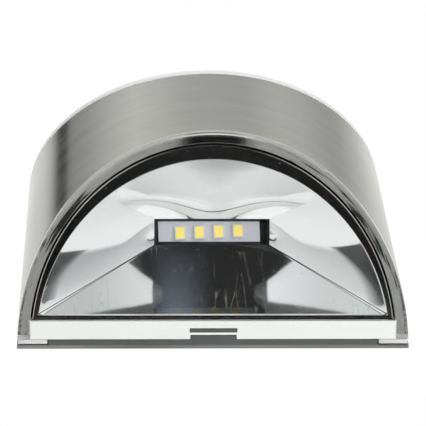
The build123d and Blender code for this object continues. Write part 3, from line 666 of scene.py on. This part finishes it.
def cover_plate(name, node, end, notched):
    """A cover, as outlines from its outer face down to its inner one. The arch's radius and the lines by
    the wall draw in by the edges' rounding; each point's height follows from its distance from the wall.
    The lit end's straight edge is square to its face, so it nears the wall with depth."""
    turns = np.radians(np.linspace(0, 90, round_steps))
    steps = [(edge_round * (1 - math.sin(t)), edge_round * (1 - math.cos(t))) for t in turns]
    last, bend = cover - cover_gap, 0.3 * inner_round
    steps += [(0.0, last - inner_round), (bend, last - bend), (inner_round, last)]
    rows = []
    for inset, depth in steps:
        small = min(inset, leg_round)
        radius, back = band_radius - inset, (leg_back if notched else lamp_back) + small
        angle = np.linspace(1, -1, rim_steps) * math.acos(back / radius)
        outline = np.stack([radius * np.sin(angle), radius * np.cos(angle)], axis=1)
        if notched:
            leg = leg_side + small
            edge = sill_edge * math.cos(slope) - depth * math.sin(slope) + small
            outline = np.vstack([outline, [(-leg, back), (-leg, edge), (leg, edge), (leg, back)]])
        across, out = outline.T
        z = end * (height / 2 - out * math.tan(slope) - depth / math.cos(slope))
        rows.append(np.stack([across, -out, z], axis=1))
    index = np.arange(len(rows) * len(rows[0])).reshape(len(rows), -1)
    faces = [*grid_faces(*index.shape, False, True), index[0], index[-1]]
    piece = lay_mesh(name, np.vstack(rows), faces, "lamp", "clear_plastic")
    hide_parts(node)
    return piece


lens_plate = cover_plate("lens_plate", "lens_cover", -1, True)
solar_plate = cover_plate("solar_plate", "solar_cover", 1, False)

# Clear acrylic: colourless, glossy, with faint moulding waves 12 mm long. Lamps shine straight through it.
clear_acrylic = finish("clear acrylic")
spot = add(clear_acrylic, "TexCoord")
flow = add(clear_acrylic, "TexNoise", {"Vector": spot.outputs["Object"], "Scale": 80.0, "Detail": 1.0})
waves = add(clear_acrylic, "Bump", {"Height": flow, "Strength": 0.03, "Distance": 0.0005})
glass = add(clear_acrylic, "BsdfPrincipled", {
    "Base Color": linear("FDFEFE"), "Roughness": 0.02, "IOR": 1.49, "Transmission Weight": 1.0,
    "Normal": waves,
})
through = add(clear_acrylic, "BsdfTransparent", {"Color": linear("FAFAFA")})
path = add(clear_acrylic, "LightPath")
passing = add(clear_acrylic, "MixShader", {"Fac": path.outputs["Is Shadow Ray"], 1: glass, 2: through})
add(clear_acrylic, "OutputMaterial", {"Surface": passing})
lens_plate.data.materials.append(clear_acrylic)
solar_plate.data.materials.append(clear_acrylic)

# Matt edge: the upper plate's rim keeps the mould's texture, so it looks pale and cloudy from the side.
matt_edge = finish("matt acrylic edge")
spot = add(matt_edge, "TexCoord")
grain = add(matt_edge, "TexNoise", {"Vector": spot.outputs["Object"], "Scale": 700.0, "Detail": 2.0})
tone = add(matt_edge, "Mix", {"Factor": grain, 6: linear("EEF0F0"), 7: linear("FAFBFB")}, data_type="RGBA")
cloudy = add(matt_edge, "BsdfPrincipled", {
    "Base Color": tone.outputs[2], "Roughness": 0.5, "IOR": 1.49, "Transmission Weight": 0.35,
})
add(matt_edge, "OutputMaterial", {"Surface": cloudy})
solar_plate.data.materials.append(matt_edge)
sides = np.empty(len(solar_plate.data.polygons), np.int32)
solar_plate.data.polygons.foreach_get("loop_total", sides)
solar_plate.data.polygons.foreach_set("material_index", (sides == 4).astype(np.int32))

# The lower plate's rim is polished; only the ends of its legs by the wall are matt.
leg_end = leg_back + leg_round + 0.02
lens_plate.data.materials.append(matt_edge)
middles = np.empty(len(lens_plate.data.polygons) * 3, np.float32)
lens_plate.data.polygons.foreach_get("center", middles)
at_end = middles.reshape(-1, 3)[:, 1] > -leg_end * 0.001
lens_plate.data.polygons.foreach_set("material_index", at_end.astype(np.int32))

# Ears of the lit end's cover: its two feet beside the wall plate, moulded matt like the other cover's rim.
ear_middle, ear_half, ear_back, ear_front, ear_deep = 46.0, 3.7, 1.05, 2.02, 2.0
corner = 0.14
outs = np.array([ear_back, ear_back + corner, ear_front - corner, ear_front, ear_front, ear_back])
rises = np.array([corner, 0, 0, corner, ear_deep, ear_deep])
section = np.stack([-outs, outs * math.tan(slope) - height / 2 + rises], axis=1)
for side, middle in (("left", -ear_middle), ("right", ear_middle)):
    ear = lay_mesh("cover_ear_" + side, *bar(middle, ear_half, section, corner), "lamp", "clear_plastic")
    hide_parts("lens_cover")
    ear.data.materials.append(matt_edge)

# Solar panel: five dark silicon cells, cut from one wafer and laid in a row on a black board. The board is
# set in a black nylon tray under the upper cover.
dress(black_nylon, "panel_tray", "solar_panel")

# Silicon cell: blue-black with an antireflex coat and thin silver fingers 1.6 mm apart.
finger_pitch, finger_share = 0.0016, 0.14
silicon = finish("dark silicon cell")
spot = add(silicon, "TexCoord")
axes = add(silicon, "SeparateXYZ", {"Vector": spot.outputs["Object"]})
stripes = add(silicon, "Math", {0: axes.outputs["Y"], 1: 1 / finger_pitch}, operation="MULTIPLY")
phase = add(silicon, "Math", {0: stripes}, operation="FRACT")
finger = add(silicon, "Math", {0: phase, 1: finger_share}, operation="LESS_THAN")
crystal = add(silicon, "TexNoise", {"Vector": spot.outputs["Object"], "Scale": 260.0, "Detail": 3.0})
tone = add(silicon, "Mix", {"Factor": crystal, 6: linear("0D1428"), 7: linear("16203C")}, data_type="RGBA")
printed = add(silicon, "Mix", {"Factor": finger, 6: tone.outputs[2], 7: linear("6E747C")}, data_type="RGBA")
wafer = add(silicon, "BsdfPrincipled", {
    "Base Color": printed.outputs[2], "Roughness": 0.25, "IOR": 1.9,
})
add(silicon, "OutputMaterial", {"Surface": wafer})
dress(silicon, "solar_cells")

# Stage: a pale floor well below the lamp, as it hangs on a wall, and a white tent of light round it. Cards
# that only mirrors see stand where the studio was dark or bright. The cards are given in millimetres, the
# floor, the lamps and the camera in metres.
floor_half, floor_level = 6, -0.6
corners = [(x * floor_half, y * floor_half, floor_level) for x, y in ((-1, -1), (1, -1), (1, 1), (-1, 1))]
floor_mesh = bpy.data.meshes.new("floor")
floor_mesh.from_pydata(corners, [], [(0, 1, 2, 3)])
floor = bpy.data.objects.new("floor", floor_mesh)
bpy.context.scene.collection.objects.link(floor)

# Pale paper: matt, with a soft shadow, and lit through from below. Mirrors see it white, with a grey strip
# on each side of a bright middle; the strips taper towards the back and are lighter in front.
sheet_x, sheet_y, sheet_taper = 0.04, -0.05, 0.25
sheet_wide, sheet_long, sheet_soft = 0.472, 0.35, 0.03
middle_wide, middle_soft = 0.33, 0.07
paper = finish("pale floor paper")
spot = add(paper, "TexCoord")
axes = add(paper, "SeparateXYZ", {"Vector": spot.outputs["Object"]})
off_middle = add(paper, "Math", {0: axes.outputs["X"], 1: sheet_x}, operation="SUBTRACT")
sideways = add(paper, "Math", {0: off_middle}, operation="ABSOLUTE")
in_front = add(paper, "Math", {0: axes.outputs["Y"], 1: sheet_y}, operation="SUBTRACT")
lengthways = add(paper, "Math", {0: in_front}, operation="ABSOLUTE")
longer = add(paper, "Math", {0: lengthways, 1: sheet_wide / sheet_long}, operation="MULTIPLY")
tapered = add(paper, "Math", {
    0: axes.outputs["Y"], 1: sheet_taper, 2: sideways,
}, operation="MULTIPLY_ADD")
from_sheet = add(paper, "Math", {0: tapered, 1: longer}, operation="MAXIMUM")
sheet_edge = add(paper, "MapRange", {
    "Value": from_sheet, 1: sheet_wide, 2: sheet_wide + sheet_soft,
}, interpolation_type="SMOOTHSTEP")
across = add(paper, "MapRange", {"Value": axes.outputs["X"], 1: -0.4, 2: 0.45})
greys = add(paper, "Mix", {
    "Factor": across.outputs[0], 6: linear("C8C9CA"), 7: linear("B0B2B4"),
}, data_type="RGBA")
nearer = add(paper, "MapRange", {"Value": axes.outputs["Y"], 1: 0.04, 2: -0.14, 4: 0.65})
lighter = add(paper, "Mix", {
    "Factor": nearer.outputs[0], 6: greys.outputs[2], 7: linear("FAFAFA"),
}, data_type="RGBA")
hole = add(paper, "MapRange", {
    "Value": sideways, 1: middle_wide + middle_soft, 2: middle_wide,
}, interpolation_type="SMOOTHSTEP")
off_sheet = add(paper, "Math", {0: sheet_edge.outputs[0], 1: hole.outputs[0]}, operation="MAXIMUM")
mirrored = add(paper, "Mix", {
    "Factor": off_sheet, 6: lighter.outputs[2], 7: linear("FFFFFF"),
}, data_type="RGBA")
path = add(paper, "LightPath")
glossy_shine = add(paper, "Emission", {"Color": mirrored.outputs[2]})
matt_paper = add(paper, "BsdfDiffuse", {"Color": linear("E4E4E2")})
lit_through = add(paper, "Emission", {"Color": linear("FFFFFF"), "Strength": 0.6})
shaded = add(paper, "BsdfDiffuse", {"Color": linear("C0C0C0")})
camera_shine = add(paper, "AddShader", {0: lit_through, 1: shaded})
bent = add(paper, "Math", {
    0: path.outputs["Is Glossy Ray"], 1: path.outputs["Is Transmission Ray"],
}, operation="MAXIMUM")
indirect = add(paper, "MixShader", {"Fac": bent, 1: matt_paper, 2: glossy_shine})
laid = add(paper, "MixShader", {"Fac": path.outputs["Is Camera Ray"], 1: indirect, 2: camera_shine})
add(paper, "OutputMaterial", {"Surface": laid})
floor_mesh.materials.append(paper)


def upright(y, *outline):
    """Corners of a card that stands across the front, from points across and up in millimetres."""
    return [(x, y, z) for x, z in outline]


def level(z, *outline):
    """Corners of a card that lies flat below, from points across and towards the wall in millimetres."""
    return [(x, y, z) for x, y in outline]


def flag(name, corners, colour, *edges, light=1.0):
    """A flat card that only reflections see. Each edge has a colour, a point on it, a way inwards and a
    width in millimetres, over which its colour goes over to what the card has there."""
    mesh = bpy.data.meshes.new(name)
    mesh.from_pydata((np.array(corners) * 0.001).tolist(), [], [list(range(len(corners)))])
    card = bpy.data.objects.new(name, mesh)
    bpy.context.scene.collection.objects.link(card)
    cloth = finish(name)
    spot = add(cloth, "TexCoord")
    tone = linear(colour)
    for edge_colour, place, inwards, width in edges:
        start = np.array(place) * 0.001
        away = add(cloth, "VectorMath", {0: spot.outputs["Object"], 1: start}, operation="SUBTRACT")
        run = add(cloth, "VectorMath", {0: away, 1: inwards}, operation="DOT_PRODUCT")
        share = add(cloth, "MapRange", {"Value": run.outputs["Value"], 1: 0.0, 2: width * 0.001})
        mixed = add(cloth, "Mix", {
            "Factor": share.outputs[0], 6: linear(edge_colour), 7: tone,
        }, data_type="RGBA")
        tone = mixed.outputs[2]
    shine = add(cloth, "Emission", {"Color": tone, "Strength": light})
    add(cloth, "OutputMaterial", {"Surface": shine})
    mesh.materials.append(cloth)
    card.visible_camera = card.visible_diffuse = card.visible_shadow = False


# Dark front: an upright post that widens above and below, bluish low in its left half, before two grey cards
left_edges = [
    ("2E2F31", (14, -360, -92), (-0.25, 0, -0.97), 31),
    ("28282A", (14, -360, 0), (-1, 0, 0), 12),
    ("303133", (-12, -360, 0), (1, 0, 0), 8),
]
flag("front_flag_left", upright(
    -360, (14, -125), (-80, -125), (-33, -117.4), (-11, -113.5), (-11, -104), (-22, -95.7), (-45, -80),
    (14, -80),
), "6E7280", *left_edges)
flag("front_flag_right", upright(
    -360, (14, -125), (110, -125), (65, -117), (38, -113), (37.4, -104), (48, -95.7), (75, -80),
    (14, -80),
), "262626", ("4C4C4C", (70, -360, -100), (-1, 0, 0), 30))
flag("front_card_left", upright(
    -366, (-8, -135), (-150, -135), (-150, -70), (-8, -70),
), "C8CACA", ("ECECEC", (-14, -366, 0), (-1, 0, 0), 22))
flag("front_card_right", upright(
    -366, (34, -135), (170, -135), (170, -70), (34, -70),
), "DADCDC", ("F4F4F8", (42, -366, 0), (1, 0, 0), 20))

# Two dark shapes on the floor's grey strips, with soft edges, which the side facets show as wedges. Each is
# named for the facet that shows it, across from where it lies.
flag("right_floor_shape", level(
    -599, (-436, 83), (-317, -100), (-330, -50), (-356, 3), (-300, 220), (-425, 220),
), "0A0A0A", ("C8C9CA", (-381, 1, -599), (0.836, 0.548, 0.0), 11))
flag("left_floor_shape", level(
    -599, (509, 103), (403, -58), (402, -38), (429, 6), (400, 220), (480, 220),
), "6A6A6A", ("B0B2B4", (454, 22, -599), (-0.836, 0.549, 0.0), 6))
flag("left_floor_core", level(
    -598, (502, 107), (396, -54), (401, -38), (428, 6), (400, 220), (478, 220),
), "0A0A0A", ("6A6A6A", (448, 26, -598), (-0.836, 0.549, 0.0), 6))

# Dark camera side below the lamp, with two wings that the cover's inner face shows
flag("camera_flag", level(
    -520, (-80, -294), (122, -294), (122, -120), (80, -20), (-40, -20), (-80, -120),
), "101010")
flag("camera_wing_right", level(
    -597, (-70, -310), (-70, -90), (-330, -150), (-330, -310),
), "101010", ("FFFFFF", (-330, 0, -597), (1, 0, 0), 80))
flag("camera_wing_left", level(
    -597, (110, -310), (110, -90), (340, -130), (340, -310),
), "101010", ("FFFFFF", (340, 0, -597), (-1, 0, 0), 80))

# Bright cards behind and straight below, for the crown and the place above the diodes
flag("back_card", level(
    -598, (-440, 470), (520, 470), (520, 760), (-440, 760),
), "FFFFFF", ("B8B8B8", (0, 478, -598), (0, 1, 0), 26), light=1.1)
flag("middle_card", level(-598, (-160, -60), (200, -60), (200, 190), (-160, 190)), "FFFFFF", light=1.2)

# Grey cards far below, which the lit cover's side wall shows round the arch, darkest for its crown
rim_near, rim_far, crown_middle = 224, 330, 28
for side, end, inwards in (("right", -360, 1), ("left", 415, -1)):
    flag("rim_card_" + side, level(
        -597, (crown_middle, rim_near), (end, rim_near), (end, rim_far), (crown_middle, rim_far),
    ), "6A6A6A", ("D8D8D8", (end, 0, 0), (inwards, 0, 0), abs(end - crown_middle)))

# Tent: white for the camera; for the rest its upper part hangs in lighter and darker folds that meet at one
# point behind the lamp, with one dark post on the left. Each fold has a bearing in degrees from the front,
# and its light.
folds = [
    (-90, 1.1), (-80, 1.12), (-70, 0.98), (-64, 0.9), (-60, 0.74), (-56.5, 0.38), (-54.5, 0.02),
    (-50.5, 0.02), (-49, 0.29), (-40, 0.45), (-32, 0.66), (-24, 0.84), (-16, 0.74), (-8, 0.6),
    (4, 0.55), (10, 0.53), (20, 0.67), (28, 0.63), (38, 0.48), (43, 0.48), (52, 0.7), (60, 0.95),
    (70, 1.05), (82, 1.12), (90, 1.1), (120, 0.9), (180, 0.75), (240, 0.9),
]
meeting = (0.04, 0.479, 0.0)
world = bpy.data.worlds.new("tent")
bpy.context.scene.world = world
world.use_nodes = True
world.node_tree.nodes.clear()
spot = add(world, "TexCoord")
from_meeting = add(world, "VectorMath", {0: spot.outputs["Generated"], 1: meeting}, operation="SUBTRACT")
bearing = add(world, "TexGradient", {"Vector": from_meeting}, gradient_type="RADIAL")
sides = add(world, "ValToRGB", {"Fac": bearing.outputs["Fac"]})
stops = sides.color_ramp.elements
for direction, light in folds:
    stops.new((direction + 90) / 360).color = (light, light, light, 1.0)
stops.remove(stops[0])
stops.remove(stops[len(stops) - 1])
axes = add(world, "SeparateXYZ", {"Vector": spot.outputs["Generated"]})
above = add(world, "MapRange", {
    "Value": axes.outputs["Z"], 1: 0.3, 2: 0.55,
}, interpolation_type="SMOOTHSTEP")
seen = add(world, "Mix", {"Factor": above.outputs[0], 6: linear("F8F8F8"), 7: sides}, data_type="RGBA")
path = add(world, "LightPath")
white = add(world, "Mix", {
    "Factor": path.outputs["Is Camera Ray"], 6: seen.outputs[2], 7: linear("FFFFFF"),
}, data_type="RGBA")
glow = add(world, "Background", {"Color": white.outputs[2], "Strength": 1.0})
add(world, "OutputWorld", {"Surface": glow})

# Two large soft lamps, above on the left and low on the right, which mirrors do not show
lamp_size = 0.7
for name, place, energy in (("key", (-0.5, -0.7, 0.6), 4.0), ("fill", (0.5, -0.6, -0.45), 6.0)):
    lamp = bpy.data.lights.new(name, "AREA")
    lamp.energy, lamp.size = energy, lamp_size
    holder = bpy.data.objects.new(name, lamp)
    holder.location = place
    holder.rotation_euler = (-holder.location).to_track_quat("-Z", "Y").to_euler()
    holder.visible_glossy = holder.visible_transmission = False
    bpy.context.scene.collection.objects.link(holder)

# Camera: below and in front of the lamp, a little to its left, with a long lens
camera = bpy.data.cameras.new("camera")
camera.lens, camera.sensor_width, camera.sensor_fit = 182.4, 36.0, "HORIZONTAL"
camera.clip_start = 0.01
stand = bpy.data.objects.new("camera", camera)
right, up, ahead = (0.9992, -0.0201, -0.0351), (-0.0008, -0.8774, 0.4797), (0.0404, 0.4793, 0.8767)
place = (-0.0224, -0.2941, -0.5073)
stand.matrix_world = Matrix([(right[k], up[k], -ahead[k], place[k]) for k in range(3)] + [(0, 0, 0, 1)])
bpy.context.scene.collection.objects.link(stand)
bpy.context.scene.camera = stand
bpy.context.scene.view_settings.view_transform = "Standard"
